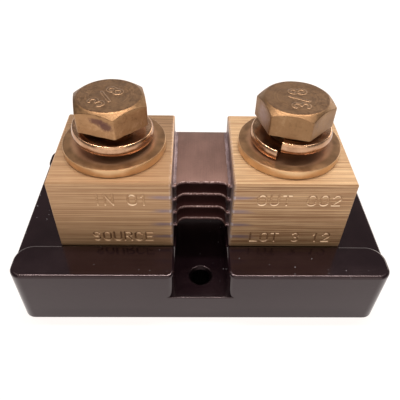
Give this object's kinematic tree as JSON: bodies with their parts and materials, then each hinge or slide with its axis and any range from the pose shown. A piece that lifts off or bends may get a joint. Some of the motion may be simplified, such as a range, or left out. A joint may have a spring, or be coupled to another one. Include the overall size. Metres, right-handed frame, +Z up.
{
  "type": "battery monitor shunt",
  "caption": "DC current shunt: two brass terminal blocks on a black moulded base, joined by soldered resistance plates, with hex terminal bolts and small sense lead screws.",
  "frame": {"origin": "centre of the base's underside", "axes": "+X along the base from the left block to the right block, -Y towards the front face with the stamped marks, +Z up along the terminal bolts"},
  "size_m": [0.0826, 0.0444, 0.0459],
  "materials": {
    "phenolic_black": "moulded phenolic, semi-gloss",
    "block_brass": "brushed along the length",
    "washer_brass": "turned, lightly tarnished",
    "spring_bronze": "polished wire",
    "bolt_bronze": "forged, tarnished",
    "resistance_alloy": "matt, heat toned, ground front edge",
    "solder": "soft solder, satin",
    "screw_brass": "turned, tarnished"
  },
  "bodies": {
    "root": {"base": "phenolic_black", "element_plate_1": "resistance_alloy", "element_plate_2": "resistance_alloy", "element_plate_3": "resistance_alloy", "element_plate_4": "resistance_alloy", "terminal_block_left": "block_brass", "solder_joints_left": "solder", "hold_down_screw_left_front": "screw_brass", "hold_down_washer_left_front": "spring_bronze", "hold_down_screw_left_rear": "screw_brass", "hold_down_washer_left_rear": "spring_bronze", "terminal_block_right": "block_brass", "solder_joints_right": "solder", "hold_down_screw_right_front": "screw_brass", "hold_down_washer_right_front": "spring_bronze", "hold_down_screw_right_rear": "screw_brass", "hold_down_washer_right_rear": "spring_bronze"},
    "left_washers": {"flat_washer_left": "washer_brass", "lock_washer_left": "spring_bronze"},
    "left_bolt": {"terminal_bolt_left": "bolt_bronze"},
    "left_sense_washer": {"sense_washer_left": "spring_bronze"},
    "left_sense_screw": {"sense_screw_left": "screw_brass"},
    "right_washers": {"flat_washer_right": "washer_brass", "lock_washer_right": "spring_bronze"},
    "right_bolt": {"terminal_bolt_right": "bolt_bronze"},
    "right_sense_washer": {"sense_washer_right": "spring_bronze"},
    "right_sense_screw": {"sense_screw_right": "screw_brass"}
  },
  "joints": [
    {"name": "left_bolt_lift", "type": "slide", "parent": "root", "child": "left_washers", "axis": [0, 0, 1], "range_m": [0, 0.00953]},
    {"name": "left_bolt_turn", "type": "hinge", "parent": "left_washers", "child": "left_bolt", "pos_m": [-0.01905, 0, 0.0333], "axis": [0, 0, 1], "range_deg": [0, 2161]},
    {"name": "left_sense_lift", "type": "slide", "parent": "root", "child": "left_sense_washer", "axis": [0, 1, 0], "range_m": [0, 0.00397]},
    {"name": "left_sense_turn", "type": "hinge", "parent": "left_sense_washer", "child": "left_sense_screw", "pos_m": [-0.01905, 0.0127, 0.0238], "axis": [0, 1, 0], "range_deg": [0, 1801]},
    {"name": "right_bolt_lift", "type": "slide", "parent": "root", "child": "right_washers", "axis": [0, 0, 1], "range_m": [0, 0.00953]},
    {"name": "right_bolt_turn", "type": "hinge", "parent": "right_washers", "child": "right_bolt", "pos_m": [0.01905, 0, 0.0333], "axis": [0, 0, 1], "range_deg": [0, 2161]},
    {"name": "right_sense_lift", "type": "slide", "parent": "root", "child": "right_sense_washer", "axis": [0, 1, 0], "range_m": [0, 0.00397]},
    {"name": "right_sense_turn", "type": "hinge", "parent": "right_sense_washer", "child": "right_sense_screw", "pos_m": [0.01905, 0.0127, 0.0238], "axis": [0, 1, 0], "range_deg": [0, 1801]}
  ],
  "couplings": [
    {"joint": "left_bolt_turn", "follows": "left_bolt_lift", "rad_per_m": 3957.9},
    {"joint": "left_sense_turn", "follows": "left_sense_lift", "rad_per_m": 7915.8},
    {"joint": "right_bolt_turn", "follows": "right_bolt_lift", "rad_per_m": 3957.9},
    {"joint": "right_sense_turn", "follows": "right_sense_lift", "rad_per_m": 7915.8}
  ]
}
